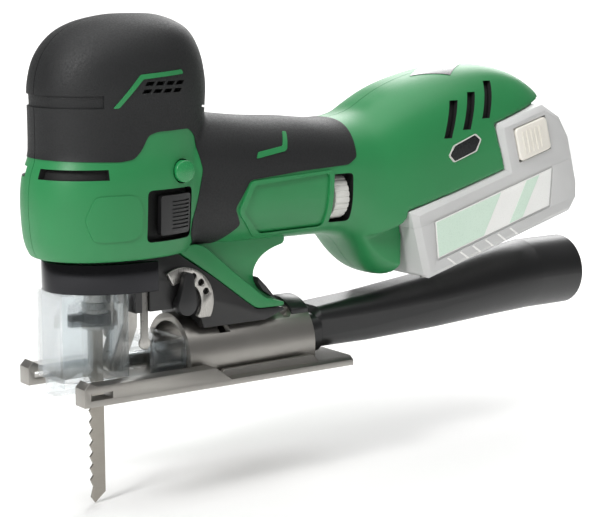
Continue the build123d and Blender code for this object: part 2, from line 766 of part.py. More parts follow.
def make_key():
    """The hex key that is stored along the right edge of the base, and the clips it snaps into."""
    t = RegularPolygon(key_r, 6)
    bar = extrude(Plane(origin=(key_x, key_y, key_z), x_dir=(1, 0, 0), z_dir=(0, 1, 0)) * t, key_len)
    foot = (key_x - 1.8, key_y + key_len - 1, key_z)
    bend = extrude(Plane(origin=foot, x_dir=(0, 1, 0), z_dir=(1, 0, 0)) * t, key_bend)
    keep("hex_key", bar + bend)
    clips = []
    for y in clip_at:
        clip = block(key_x - clip_half, key_x + clip_half, y, y + clip_l, plate_t, key_z + 1.6)
        clips.append(clip - rod_y(key_r + slot_play, y - 1, y + clip_l + 1, key_x, key_z))
    keep("key_clips", *clips)


def make_screw():
    low, neck, top = screw_z
    shaft = rod_z(screw_shaft, neck - 0.4, top, 0, screw_y)
    head = rod_z(screw_head, low, neck, 0, screw_y)
    recess = extrude(Pos(0, screw_y, low - 0.5) * RegularPolygon(hex_size, 6), hex_depth + 0.5)
    keep("tilt_screw", shaft + head - recess)


def pipe(stations, wall):
    return duct(stations) - duct(stations, wall)


def make_adapter():
    end = rod_y(port_r, port_y0, port_y1, 0, port_z)
    end = end - rod_y(port_bore, port_y0 - 1, port_y1 + 1, 0, port_z)
    run = pipe(duct_front, duct_wall) + pipe(duct_middle, duct_wall)
    keep("dust_adapter", run + end + pipe(collar_run, collar_wall))


def make_controls():
    make_switch()
    keep("light_button", rod_x(button_r, *button_x, button_y, button_z))
    bore = rod_y(shaft_r + run_fit, 100, 150, dial_x, dial_z)
    wheel = rod_y(dial_r, dial_y0, dial_y1, dial_x, dial_z) - bore
    for i in range(dial_grooves):
        place = Pos(dial_x, (dial_y0 + dial_y1) / 2, dial_z) * Rot(0, i * 360 / dial_grooves, 0)
        wheel = wheel - place * Pos(dial_r + 0.3, 0, 0) * Rot(90, 0, 0) * Cylinder(knurl_r, 20)
    keep("speed_dial", wheel)
    pot = block(dial_x - 7, dial_x + 5, dial_y1 + 1.5, dial_y1 + 9.5, dial_z - 6, dial_z + 6)
    keep("dial_sensor", pot + rod_y(shaft_r, dial_y0, dial_y1 + 2.5, dial_x, dial_z))
    keep("controller", block(*controller_box))
    keep("terminal_block", pack_block(*terminal_box))
    screws = []
    for y, z, x in screw_list:
        head = rod_x(screw_head_r, -x, screw_head_t - x, y, z)
        screws.append(head + rod_x(screw_r, screw_head_t - 0.1 - x, screw_tip, y, z))
    keep("housing_screws", *screws)


def make_switch():
    """A grooved pad on each side, joined by a bar that works the switch body."""
    pads = []
    x_in, x_out = pad_x
    for s in (-1, 1):
        x0, x1 = sorted((s * x_in, s * x_out))
        pad = block(x0, x1, pad_y0, pad_y1, pad_z0, pad_z1)
        g0, g1 = sorted((s * (x_out - groove_deep), s * (x_out + 1)))
        for i in range(groove_count):
            y = pad_y0 + 3.2 + i * groove_step
            pad = pad - block(g0, g1, y, y + groove_w, pad_z0 + 2, pad_z1 - 2)
        pads.append(pad)
    keep("switch_pads", *pads)
    keep("switch_bar", block(*switch_bar_box))
    keep("switch_body", block(*switch_body_box))


def screw_bosses():
    posts = None
    for y, z, x in screw_list:
        post = rod_x(boss_r, -x + 2, x - 2, y, z)
        posts = post if posts is None else posts + post
    return posts


def screw_holes():
    holes = None
    for y, z, x in screw_list:
        hole = rod_x(screw_head_r + press_gap, -reach, screw_head_t + 0.1 - x, y, z)
        hole = hole + rod_x(screw_r, -30, screw_tip, y, z)
        holes = hole if holes is None else holes + hole
    return holes


def pack_screw(u, x):
    """A case screw driven up from the battery's underside."""
    t = radians(pack_tilt)
    foot = (x, pack_y + u * cos(t), pack_z + u * sin(t))
    plane = Plane(origin=foot, x_dir=(1, 0, 0), z_dir=(0, -sin(t), cos(t)))
    return plane * (Pos(0, 0, 1.3) * Cylinder(2.6, 2.0) + Pos(0, 0, 4.2) * Cylinder(1.2, 5))


def make_case():
    """The hollow case with its slide rails, before the wells, labels and screws are cut."""
    solid = pack_slab(pack_side, -pack_half, pack_half)
    rims = [e for e in solid.edges() if abs(abs(e.center().X) - pack_half) < 0.01]
    solid = chamfer(rims, 3.0)
    w = pack_half - pack_wall
    room = pack_block(pack_wall, pack_len - pack_wall, 2.2, rail_n - 2.2, -w, w)
    room = room + pack_block(block_u + 3, 113, rail_n - 3, block_n - 4, -31, 31)
    room = room & pack_slab(pack_room_side, -w - 1, w + 1)
    tongue = pack_block(tongue_u0, block_u + 1, rail_n - 0.5, tongue_n, -tongue_half, tongue_half)
    rail = pack_block(0, block_u, rail_n + 1.2, rail_n + 3.6, tongue_half - 2.4, tongue_half + 1)
    return (solid - room) + tongue - rail - mirror(rail, Plane.YZ)


def make_battery():
    case = make_case()
    labels = []
    g = latch_gap
    for s, name in ((-1, "latch_right"), (1, "latch_left")):
        x0, x1 = sorted((s * latch_x[0], s * latch_x[1]))
        keep(name, pack_block(*latch_u, *latch_n, x0, x1, 2.5))
        x0, x1 = sorted((s * 32.5, s * 45))
        case = case - pack_block(latch_u[0] - g, latch_u[1] + g, latch_n[0] - g, latch_n[1] + g, x0, x1)
        x0, x1 = sorted((s * (pack_half - badge_t), s * pack_half))
        labels.append(pack_slab(pack_label_side, x0, x1, 2.0))
        case = case - labels[-1]
    keep("battery_labels", *labels)
    bolts = []
    for u, x in pack_screw_at:
        bolts.append(pack_screw(u, x))
        case = case - bolts[-1]
    keep("battery_screws", *bolts)
    split = pack_block(-10, 200, -10, case_split, -reach, reach)
    keep("battery_case_lower", case & split)
    keep("battery_case_upper", case - split)
    cells = []
    for i in range(cell_count):
        u = cell_u + cell_step * i
        cells.append(pack_rod(u, cell_n, cell_r, -cell_len / 2, cell_len / 2))
        cells.append(pack_rod(u + cell_step / 2, cell_upper_n, cell_r, -cell_len / 2, cell_len / 2))
    keep("battery_cells", *cells)
    keep("battery_board", pack_block(*board_box))


def make_all():
    cap, grip, body, brace, patches = make_shells()
    for s, side in ((1, "left"), (-1, "right")):
        keep("head_cap_" + side, half(cap, s))
        keep("grip_" + side, half(grip, s))
        keep("housing_" + side, half(body, s))
    keep("accent_strips", patches["accent_strips"])
    keep("labels", patches["foot_badges"], patches["top_label"])
    keep("lever_guard", brace)
    keep("gear_housing", make_gear_housing())
    make_motor()
    make_gear()
    make_plunger()
    make_blade()
    make_roller()
    make_orbit()
    make_front()
    make_base()
    make_screw()
    make_key()
    make_adapter()
    make_controls()
    make_battery()


make_all()
os.makedirs("parts", exist_ok=True)
for name, shape in parts.items():
    export_step(shape, "parts/" + name + ".step")
    print(name, len(shape.solids()), round(shape.volume))
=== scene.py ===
import bpy
import bmesh
import json
import math
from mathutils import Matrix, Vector


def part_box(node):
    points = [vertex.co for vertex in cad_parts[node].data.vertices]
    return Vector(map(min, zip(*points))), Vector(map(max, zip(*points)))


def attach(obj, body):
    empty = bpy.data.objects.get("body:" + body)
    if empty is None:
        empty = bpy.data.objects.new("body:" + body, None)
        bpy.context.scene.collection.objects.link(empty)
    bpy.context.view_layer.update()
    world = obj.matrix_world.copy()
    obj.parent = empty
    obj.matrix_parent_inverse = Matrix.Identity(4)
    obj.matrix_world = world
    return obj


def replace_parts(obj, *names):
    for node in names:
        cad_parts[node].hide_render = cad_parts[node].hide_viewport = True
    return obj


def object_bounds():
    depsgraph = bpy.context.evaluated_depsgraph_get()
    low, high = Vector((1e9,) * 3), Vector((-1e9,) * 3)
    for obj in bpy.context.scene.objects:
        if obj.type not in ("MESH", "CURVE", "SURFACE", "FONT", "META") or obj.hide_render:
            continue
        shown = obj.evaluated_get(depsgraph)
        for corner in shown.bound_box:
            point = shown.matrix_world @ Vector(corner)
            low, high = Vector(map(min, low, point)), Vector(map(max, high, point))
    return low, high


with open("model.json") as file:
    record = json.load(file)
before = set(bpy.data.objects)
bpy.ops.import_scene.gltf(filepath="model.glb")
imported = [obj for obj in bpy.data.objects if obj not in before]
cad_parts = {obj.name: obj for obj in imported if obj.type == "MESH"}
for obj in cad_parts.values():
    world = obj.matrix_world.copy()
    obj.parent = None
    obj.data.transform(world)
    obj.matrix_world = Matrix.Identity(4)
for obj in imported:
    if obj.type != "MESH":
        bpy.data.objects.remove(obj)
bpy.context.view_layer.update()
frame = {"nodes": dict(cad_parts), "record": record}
mm = 0.001


def asLinear(hexText):
    # sRGB hex to the linear values that shaders take
    out = []
    for i in (0, 2, 4):
        c = int(hexText[i:i + 2], 16) / 255
        out.append(c / 12.92 if c <= 0.04045 else ((c + 0.055) / 1.055) ** 2.4)
    return (*out, 1.0)


def addNode(tree, kind, settings=None, links=None):
    # one node, its settings by name, and its inputs from other nodes' outputs
    node = tree.nodes.new(kind)
    for key, value in (settings or {}).items():
        if key in node.inputs:
            node.inputs[key].default_value = value
        else:
            setattr(node, key, value)
    for key, source in (links or {}).items():
        tree.links.new(source, node.inputs[key])
    return node


def newMaterial(name):
    mat = bpy.data.materials.new(name)
    mat.use_nodes = True
    mat.node_tree.nodes.clear()
    return mat, mat.node_tree


# shared by every surface: noise scales, and the noise values that each range starts and ends at
grainWork = {"driftScale": 22.0, "driftBand": (0.35, 0.65), "drift": 0.5, "grainBand": (0.3, 0.7),
             "coatRough": 0.12, "hazeScale": 90.0, "hazeBand": (0.4, 0.7)}


def spread(tree, source, ends, low, high):
    # a noise value between two ends, spread from low to high
    node = addNode(tree, "ShaderNodeMapRange",
                   {"From Min": ends[0], "From Max": ends[1], "To Min": low, "To Max": high},
                   {"Value": source})
    return node.outputs["Result"]


def surface(name, look):
    # a moulded, cast or ground surface: a soft colour drift, a fine grain and a patchy shine
    mat, tree = newMaterial(name)
    where = addNode(tree, "ShaderNodeTexCoord").outputs["Object"]
    grainAt = where
    if "stretch" in look:
        mapped = addNode(tree, "ShaderNodeMapping", {"Scale": look["stretch"]}, {"Vector": where})
        grainAt = mapped.outputs["Vector"]
    drift = addNode(tree, "ShaderNodeTexNoise", {"Scale": grainWork["driftScale"], "Detail": 3.0},
                    {"Vector": where})
    grain = addNode(tree, "ShaderNodeTexNoise",
                    {"Scale": 1 / (look["grainMm"] * mm), "Detail": 2.0, "Roughness": 0.6},
                    {"Vector": grainAt})
    # the mix node's colour inputs go by number, because they share their names with its value inputs
    tint = addNode(tree, "ShaderNodeMix", {"data_type": "RGBA"})
    tint.inputs[6].default_value = asLinear(look["colour"])
    tint.inputs[7].default_value = asLinear(look["shade"])
    fade = spread(tree, drift.outputs["Fac"], grainWork["driftBand"], 0.0, grainWork["drift"])
    tree.links.new(fade, tint.inputs[0])
    rough = spread(tree, grain.outputs["Fac"], grainWork["grainBand"], *look["rough"])
    bump = addNode(tree, "ShaderNodeBump", {"Strength": look["bump"], "Distance": look["bumpMm"] * mm},
                   {"Height": grain.outputs["Fac"]})
    shader = addNode(tree, "ShaderNodeBsdfPrincipled", {"Metallic": look.get("metal", 0.0)},
                     {"Base Color": tint.outputs[2], "Roughness": rough, "Normal": bump.outputs["Normal"]})
    if "ior" in look:
        shader.inputs["IOR"].default_value = look["ior"]
    if "coat" in look:
        shader.inputs["Coat Weight"].default_value = look["coat"]
        shader.inputs["Coat Roughness"].default_value = grainWork["coatRough"]
    if "aniso" in look:
        shader.inputs["Anisotropic"].default_value = look["aniso"]
    addNode(tree, "ShaderNodeOutputMaterial", None, {"Surface": shader.outputs["BSDF"]})
    return mat


def clearPlastic(name, look):
    # see-through plastic with a faint haze
    mat, tree = newMaterial(name)
    where = addNode(tree, "ShaderNodeTexCoord").outputs["Object"]
    haze = addNode(tree, "ShaderNodeTexNoise", {"Scale": grainWork["hazeScale"], "Detail": 3.0},
                   {"Vector": where})
    rough = spread(tree, haze.outputs["Fac"], grainWork["hazeBand"], *look["rough"])
    shader = addNode(tree, "ShaderNodeBsdfPrincipled",
                     {"Base Color": asLinear(look["colour"]), "IOR": look["ior"],
                      "Transmission Weight": look["clear"], "Alpha": look["alpha"]},
                     {"Roughness": rough})
    addNode(tree, "ShaderNodeOutputMaterial", None, {"Surface": shader.outputs["BSDF"]})
    return mat


looks = {
    # glass-filled nylon, spark-eroded mould: an even satin grain with soft highlights
    "greenNylon": {"colour": "25834a", "shade": "217a43", "grainMm": 0.55, "rough": (0.36, 0.5), "bump": 0.35,
                   "bumpMm": 0.05, "ior": 1.53},
    # thermoplastic elastomer overmould: dull, fine pebbled texture
    "blackElastomer": {"colour": "131415", "shade": "0e0f10", "grainMm": 0.9, "rough": (0.5, 0.68), "bump": 0.8,
                       "bumpMm": 0.12, "ior": 1.5},
    # die-cast magnesium with black coating: satin, slightly uneven
    "coatedMagnesium": {"colour": "1d1d1e", "shade": "262524", "grainMm": 0.5, "rough": (0.3, 0.46), "bump": 0.3,
                        "bumpMm": 0.05, "ior": 1.5},
    # die-cast aluminium, bead-blasted: pale grey with a soft broad shine
    "blastedAluminium": {"colour": "a9a6a1", "shade": "918e89", "grainMm": 0.35, "rough": (0.3, 0.46),
                         "bump": 0.3, "bumpMm": 0.03, "metal": 1.0},
    # cold-rolled steel, ground: streaks along its length
    "groundSteel": {"colour": "b8b6b2", "shade": "9b9893", "grainMm": 0.4, "rough": (0.24, 0.4), "bump": 0.2,
                    "bumpMm": 0.02, "metal": 1.0, "aniso": 0.4, "stretch": (1, 1, 0.1)},
    # black chrome on steel: dark, mirror-like
    "blackChrome": {"colour": "353537", "shade": "2a2a2c", "grainMm": 1.5, "rough": (0.1, 0.18), "bump": 0.05,
                    "bumpMm": 0.02, "metal": 1.0},
    # saw blade steel, milled and set, bare
    "bladeSteel": {"colour": "a9a49c", "shade": "8d8881", "grainMm": 0.5, "rough": (0.28, 0.44), "bump": 0.25,
                   "bumpMm": 0.03, "metal": 1.0, "stretch": (1, 0.15, 1)},
    # glass-filled nylon, black, satin mould
    "blackNylon": {"colour": "151516", "shade": "1c1c1d", "grainMm": 0.6, "rough": (0.3, 0.42), "bump": 0.2,
                   "bumpMm": 0.04, "ior": 1.53},
    # ABS, light grey, satin
    "greyAbs": {"colour": "d4d3ce", "shade": "c6c5bf", "grainMm": 0.5, "rough": (0.35, 0.5), "bump": 0.15,
                "bumpMm": 0.03, "ior": 1.54},
    # battery case, pale grey ABS with a fine grain
    "paleAbs": {"colour": "c9c9c8", "shade": "bebebe", "grainMm": 0.6, "rough": (0.4, 0.55), "bump": 0.3,
                "bumpMm": 0.05, "ior": 1.54},
    # latch buttons, off-white acetal
    "offWhiteAcetal": {"colour": "ece8df", "shade": "e0dbd0", "grainMm": 0.5, "rough": (0.35, 0.48), "bump": 0.15,
                       "bumpMm": 0.03, "ior": 1.48},
    # green button, polished ABS
    "greenAbs": {"colour": "268c4f", "shade": "228047", "grainMm": 0.5, "rough": (0.22, 0.3), "bump": 0.1,
                 "bumpMm": 0.02, "ior": 1.54, "coat": 0.3},
    # enamelled copper wire
    "enamelCopper": {"colour": "a45a2c", "shade": "7d3f1c", "grainMm": 0.5, "rough": (0.25, 0.4), "bump": 0.5,
                     "bumpMm": 0.1, "metal": 1.0},
    # electrical steel laminations, edge on
    "laminatedSteel": {"colour": "6f7277", "shade": "55585c", "grainMm": 0.5, "rough": (0.35, 0.5), "bump": 0.4,
                       "bumpMm": 0.05, "metal": 1.0, "stretch": (0.1, 1, 0.1)},
    # sintered bronze
    "sinteredBronze": {"colour": "9c7b45", "shade": "85683a", "grainMm": 0.3, "rough": (0.4, 0.55), "bump": 0.4,
                       "bumpMm": 0.04, "metal": 1.0},
    # fibreglass board under green solder resist
    "boardResist": {"colour": "12502c", "shade": "0d4023", "grainMm": 0.6, "rough": (0.2, 0.32), "bump": 0.2,
                    "bumpMm": 0.03, "ior": 1.5},
    # heat-shrunk PVC sleeve
    "shrinkSleeve": {"colour": "2c5f95", "shade": "275688", "grainMm": 0.8, "rough": (0.22, 0.35), "bump": 0.1,
                     "bumpMm": 0.03, "ior": 1.53},
    # printed polyester film: mint field, white field, dark field
    "mintFilm": {"colour": "d3e8d8", "shade": "cbe2d1", "grainMm": 0.5, "rough": (0.25, 0.34), "bump": 0.05,
                 "bumpMm": 0.02, "ior": 1.57},
    "whiteFilm": {"colour": "f2f2ef", "shade": "e9e9e6", "grainMm": 0.5, "rough": (0.25, 0.34), "bump": 0.05,
                  "bumpMm": 0.02, "ior": 1.57},
    "darkFilm": {"colour": "17181a", "shade": "1e1f21", "grainMm": 0.5, "rough": (0.2, 0.3), "bump": 0.05,
                 "bumpMm": 0.02, "ior": 1.57},
    # unlit inside of a vent
    "ventShadow": {"colour": "0a0b0a", "shade": "0e0f0e", "grainMm": 0.6, "rough": (0.6, 0.75), "bump": 0.2,
                   "bumpMm": 0.05, "ior": 1.5},
}
paint = {name: surface(name, look) for name, look in looks.items()}
# injection-moulded polycarbonate: water-clear, faint haze; its grey-blue colour is painted shade, standing in for
# the grey that reflections give its edges
paint["clearPolycarbonate"] = clearPlastic("clearPolycarbonate", {
    "colour": "a9b7bd", "rough": (0.01, 0.05), "ior": 1.58, "clear": 0.92, "alpha": 0.36})

slotPaint = {
    "green_shell": "greenNylon", "black_rubber": "blackElastomer", "dark_casting": "coatedMagnesium",
    "bright_casting": "blastedAluminium", "steel": "groundSteel", "chromed": "blackChrome",
    "clear_plastic": "clearPolycarbonate", "black_plastic": "blackNylon", "grey_plastic": "greyAbs",
    "pale_case": "paleAbs", "white_plastic": "offWhiteAcetal", "green_button": "greenAbs",
    "copper": "enamelCopper", "lamination": "laminatedSteel", "bronze": "sinteredBronze",
    "circuit": "boardResist", "cell_wrap": "shrinkSleeve", "label_film": "mintFilm", "dark_film": "darkFilm",
    "blade_steel": "bladeSteel", "lens": "clearPolycarbonate",
}
nodeSlot = {s["node"]: s["material_slot"] for s in frame["record"]["subparts"]}
for nodeName, cadObject in frame["nodes"].items():
    cadObject.data.materials.clear()
    cadObject.data.materials.append(paint[slotPaint[nodeSlot[nodeName]]])
print("materials done")


def link(ob):
    bpy.context.scene.collection.objects.link(ob)
    return ob


def meshPiece(name, verts, faces):
    data = bpy.data.meshes.new(name)
    data.from_pydata(verts, [], faces)
    data.update()
    return link(bpy.data.objects.new(name, data))


def fixNormals(ob):
    # turns every face outwards
    bm = bmesh.new()
    bm.from_mesh(ob.data)
    bmesh.ops.recalc_face_normals(bm, faces=bm.faces)
    bm.to_mesh(ob.data)
    bm.free()
    return ob


def applyAll(ob):
    # bakes an object's modifiers into its mesh
    graph = bpy.context.evaluated_depsgraph_get()
    baked = bpy.data.meshes.new_from_object(ob.evaluated_get(graph))
    ob.modifiers.clear()
    old = ob.data
    ob.data = baked
    bpy.data.meshes.remove(old)
    return ob


def dropObject(ob):
    data = ob.data
    bpy.data.objects.remove(ob)
    if data.users == 0:
        bpy.data.meshes.remove(data)


def combine(ob, other, how, keepOther=False):
    mod = ob.modifiers.new("cut", "BOOLEAN")
    mod.operation = how
    mod.solver = "EXACT"
    mod.object = other
    applyAll(ob)
    if not keepOther:
        dropObject(other)
    return ob


def copyOf(ob, name):
    new = bpy.data.objects.new(name, ob.data.copy())
    return link(new)


def grown(ob, name, distance):
    # a copy whose surface stands out (or sinks in) by a distance
    new = copyOf(ob, name)
    me = new.data
    normals = [v.normal.copy() for v in me.vertices]
    for v, n in zip(me.vertices, normals):
        v.co += n * distance
    return new


def ringPoints(halfA, halfB, power, count):
    # a superellipse, first quadrant outwards, as (a, b) pairs
    out = []
    for i in range(count):
        t = 2 * math.pi * i / count
        c, s = math.cos(t), math.sin(t)
        a = halfA * math.copysign(abs(c) ** (2 / power), c)
        b = halfB * math.copysign(abs(s) ** (2 / power), s)
        out.append((a, b))
    return out


def skinned(name, rings):
    # closed mesh through rings of equal count
    count = len(rings[0])
    verts = [p for ring in rings for p in ring]
    faces = []
    for r in range(len(rings) - 1):
        for i in range(count):
            j = (i + 1) % count
            faces.append((r * count + i, r * count + j, (r + 1) * count + j, (r + 1) * count + i))
    faces.append(tuple(reversed(range(count))))
    last = (len(rings) - 1) * count
    faces.append(tuple(range(last, last + count)))
    return fixNormals(meshPiece(name, verts, faces))


def smoothSteps(stations, steps):
    # Catmull-Rom through station tuples, so a few stations give a flowing form
    out = []
    n = len(stations)
    for i in range(n - 1):
        p0 = stations[max(i - 1, 0)]
        p1, p2 = stations[i], stations[i + 1]
        p3 = stations[min(i + 2, n - 1)]
        for k in range(steps):
            t = k / steps
            out.append(tuple(
                0.5 * ((2 * b) + (c - a) * t + (2 * a - 5 * b + 4 * c - d) * t * t
                       + (3 * b - a - 3 * c + d) * t ** 3)
                for a, b, c, d in zip(p0, p1, p2, p3)))
    out.append(stations[-1])
    return out


def prismFaces(n):
    # two end faces of n corners, and the sides between them
    ends = [tuple(range(n)), tuple(reversed(range(n, 2 * n)))]
    return ends + [(i, i + n, (i + 1) % n + n, (i + 1) % n) for i in range(n)]


def sidePrism(name, outline, x0, x1):
    # a (y, z) outline in mm drawn from x0 to x1
    verts = [(x * mm, y * mm, z * mm) for x in (x0, x1) for y, z in outline]
    return fixNormals(meshPiece(name, verts, prismFaces(len(outline))))


def rounded(outline, radius, steps=4):
    # outline corners cut to arcs
    out = []
    n = len(outline)
    for i in range(n):
        p = Vector(outline[i])
        a = (Vector(outline[i - 1]) - p)
        b = (Vector(outline[(i + 1) % n]) - p)
        r = min(radius, a.length * 0.45, b.length * 0.45)
        s, e = p + a.normalized() * r, p + b.normalized() * r
        for k in range(steps + 1):
            t = k / steps
            q = s * (1 - t) ** 2 + p * 2 * t * (1 - t) + e * t ** 2
            out.append((q.x, q.y))
    return out


sharpAngle = 35  # edges sharper than this, in degrees, stay crisp


def finishPiece(ob, material, body, *replaced, smoothAngle=sharpAngle):
    # one material, smooth shading, and the body that the piece moves with
    ob.data.materials.clear()
    ob.data.materials.append(paint[material])
    for poly in ob.data.polygons:
        poly.material_index = 0
        poly.use_smooth = True
    ob.data.set_sharp_from_angle(angle=math.radians(smoothAngle))
    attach(ob, body)
    if replaced:
        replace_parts(ob, *replaced)
    return ob


# the outer form of the tool, as one closed skin that every shell is cut from
headForm = {
    # height, front, back, half width, squareness, all mm
    "stations": [
        (68.5, -31, 50, 31.5, 2.2), (77, -34, 53, 33.5, 2.3), (95, -35.2, 56, 34.4, 2.3),
        (108, -34, 57, 34.2, 2.3), (116, -31.4, 58, 33.3, 2.25), (122, -30.5, 58.5, 33, 2.2),
        (140, -30.5, 60, 33, 2.2), (152, -30.5, 60.5, 33.4, 2.2),
        (164, -27.5, 58.5, 32.4, 2.2), (173, -21.5, 55, 29.5, 2.2), (179, -14, 50.5, 25.5, 2.2),
        (183, -4.5, 44, 19.5, 2.15), (185.6, 8, 36, 11.5, 2.1), (186.2, 16, 30, 5.5, 2.0),
    ],
    "sides": 72,
}
barrelForm = {
    # distance back, low, high, half width, squareness
    "stations": [
        (26, 70, 139, 27, 2.6), (44, 68.5, 138, 28, 2.6), (62, 68, 136, 29.5, 2.7), (88, 68, 133, 30.3, 2.8),
        (113, 68, 131.5, 30.3, 2.8), (133, 67.5, 129.5, 30.5, 2.8), (146, 64, 130, 31, 2.8),
        (158, 50, 133, 32, 2.8), (168, 43, 138.5, 33.5, 2.8), (180, 41, 144.5, 35, 2.8),
        (195, 41, 149.5, 36, 2.8), (216, 41, 154, 36.4, 2.8), (238, 41, 155.5, 36.2, 2.8),
        (254, 41, 153.8, 35.5, 2.8), (268, 41, 149.5, 34, 2.8), (280, 41, 143, 31.5, 2.8),
    ],
    "sides": 72,
}


def headSkin(form):
    rings = []
    for z, y0, y1, hw, power in smoothSteps(form["stations"], 3):
        yc, hl = (y0 + y1) / 2, (y1 - y0) / 2
        rings.append([(a * mm, (yc + b) * mm, z * mm) for a, b in ringPoints(hw, hl, power, form["sides"])])
    return skinned("headSkin", rings)


def barrelSkin(form):
    rings = []
    for y, z0, z1, hw, power in smoothSteps(form["stations"], 4):
        zc, hh = (z0 + z1) / 2, (z1 - z0) / 2
        rings.append([(a * mm, y * mm, (zc + b) * mm) for a, b in ringPoints(hw, hh, power, form["sides"])])
    return skinned("barrelSkin", rings)


tilt = math.radians(15.5)
packOrigin = (185.0, 41.0)


def packPoint(u, n):
    # a point in the battery's tilted frame, as (y, z) in mm
    return (packOrigin[0] + u * math.cos(tilt) - n * math.sin(tilt),
            packOrigin[1] + u * math.sin(tilt) + n * math.cos(tilt))


rearForm = {
    # the battery's room: points in its tilted frame, then level (y, z) points, in mm
    "packTilted": [(-0.5, 40), (70, 39.8), (69.7, 66.4), (140, 66.4), (140, -40)],
    "packLevel": [(185, 20), (176, 20), (177, 44), (177.2, 66)],
    # what is cut from the flanks of the toe in front of it
    "toeSide": [(120, 20), (190, 20), (190, 78), (176, 78), (170, 72), (158, 68), (120, 60)],
    "toeHalf": 24, "reach": 60,
}
skinWork = {"voxel": 1.0, "quickVoxel": 1.5, "blend": 0.5, "passes": 8}


def buildBody(form):
    body = headSkin(headForm)
    body.name = "bodySkin"
    combine(body, barrelSkin(barrelForm), "UNION")
    reach = form["reach"]
    packRoom = [packPoint(u, n) for u, n in form["packTilted"]] + form["packLevel"]
    combine(body, sidePrism("packRoom", packRoom, -reach, reach), "DIFFERENCE")
    for s in (-1, 1):
        x0, x1 = sorted((s * form["toeHalf"], s * reach))
        combine(body, sidePrism("toeSide", form["toeSide"], x0, x1), "DIFFERENCE")
    remesh = body.modifiers.new("even", "REMESH")
    remesh.mode = "VOXEL"
    remesh.voxel_size = skinWork["voxel"] * mm
    smooth = body.modifiers.new("blend", "SMOOTH")
    smooth.factor = skinWork["blend"]
    smooth.iterations = skinWork["passes"]
    applyAll(body)
    print("body skin", len(body.data.polygons))
    return body


bodySkin = buildBody(rearForm)

# side outlines in (y, z) mm
outlines = {
    "cap": [(-70, 119), (-20, 117.5), (-2, 117), (5, 118), (9, 122), (13, 129), (18, 130.5), (38, 131),
            (43, 127), (44.5, 120), (42, 136), (41, 142), (46, 158), (110, 165), (110, 230), (-70, 230)],
    "grip": [(44.5, 120), (47, 110), (44.5, 98), (40.5, 78), (50, 67), (61, 71.5), (70, 80), (65.5, 89),
             (74, 103), (104, 105.5), (136, 107), (141.5, 110.5), (142, 150), (80, 160), (46, 158), (41, 142),
             (42, 136)],
    # cap and grip together
    "darkArea": [(-70, 119), (-20, 117.5), (-2, 117), (5, 118), (9, 122), (13, 129), (18, 130.5), (38, 131),
                 (43, 127), (44.5, 120), (47, 110), (44.5, 98), (40.5, 78), (50, 67), (61, 71.5), (70, 80),
                 (65.5, 89), (74, 103), (104, 105.5), (136, 107), (141.5, 110.5), (142, 150), (142, 230),
                 (-70, 230)],
    "brace": [(36, 68), (58, 53.5), (78, 38.5), (84.5, 34.2), (101, 33.8), (102.5, 36), (94.5, 39.5), (88.5, 43.5),
              (85.3, 48), (85, 53), (87, 57.5), (91, 61.5), (97, 64.5), (105, 66.5), (105, 72), (60, 72)],
    "braceBar": [(37, 68.5), (58, 54), (78, 39), (84.5, 34.4), (101, 34), (102, 36), (90, 39.5), (71, 54.5),
                 (53, 70), (46, 72)],
    "pad": [(18.5, 80), (18.5, 99.5), (38, 99.5), (38, 80)],
    "cheek": [(-16, 79), (-20, 90), (-15, 101), (4, 101), (8.5, 96), (8.5, 83), (3, 79)],
    "brandPanel": [(67, 87), (74, 102.5), (126, 105), (125, 74), (82, 71.5), (77, 75.5)],
    "headAccent": [(-5, 142.5), (9, 158.2), (33, 160), (34, 157.9), (10.2, 156), (-2.3, 142.5)],
    "gripAccent": [(78, 113.6), (79.5, 116.8), (95, 119), (98, 126), (100.2, 126), (97.4, 117.4), (96, 116.4)],
    "switchFrame": [(11, 77), (11.5, 102.5), (40, 102.5), (40, 77)],
    "dialWindow": [(125.3, 76.5), (125.3, 102.5), (139, 102.5), (139, 76.5)],
    "badge": [(200, 108), (203.5, 104.2), (220, 109.5), (223.5, 116), (219.5, 119.2), (203.5, 113.5)],
}
headVents = {"first": (9.5, 149.2), "size": (4.4, 1.9), "lean": 1.3, "step": (5.9, 3.6), "rowShift": 1.6,
             "columns": 4, "rows": 2}
footVents = {"places": [(197.5, 117.5), (211, 121.5), (225.5, 127)], "width": 5.4, "height": 20, "lean": 8.0}
# the band round the front of the cap
capRing = {"heights": (142.5, 148.5), "rear": -9, "deep": 0.7}
# fine grooves in the outer form, as (y, z) lines
panelLines = {
    "shell": [[(-31, 75), (12, 75.5), (40, 73)], [(47, 70), (80, 69), (122, 70)],
              [(143, 108), (176, 118), (196, 131)]],
    "grip": [[(50, 141), (74, 138), (83, 134), (84.5, 126), (80, 121.5), (66, 118.5), (60, 112), (56.5, 96),
              (50.5, 90)]],
}
airSlots = {"low": 108.6, "high": 113.6, "inner": 7.0, "outer": 45, "rear": -8.0, "shoulder": 20, "front": -18}
# how far the soft parts stand proud, and each cut's depth, width and corner, in mm
cuts = {"proud": 0.35, "corner": 2, "ventDeep": 3.2, "dialDeep": 6.5, "dialCorner": 2.5, "switchDeep": 5.0,
        "switchCorner": 3, "shellGroove": 0.45, "gripGroove": 1.0, "grooveDeep": 0.7, "seamHalf": 0.2,
        "seamDeep": 0.5}


def ventOutlines():
    v = headVents
    for row in range(v["rows"]):
        for col in range(v["columns"]):
            y = v["first"][0] + col * v["step"][0] + row * v["rowShift"]
            z = v["first"][1] + row * v["step"][1]
            yield [(y, z), (y + v["size"][0], z), (y + v["size"][0] + v["lean"], z + v["size"][1]),
                   (y + v["lean"], z + v["size"][1])]
    f = footVents
    for y, z in f["places"]:
        yield [(y, z), (y + f["width"], z), (y + f["width"] + f["lean"], z + f["height"]),
               (y + f["lean"], z + f["height"])]


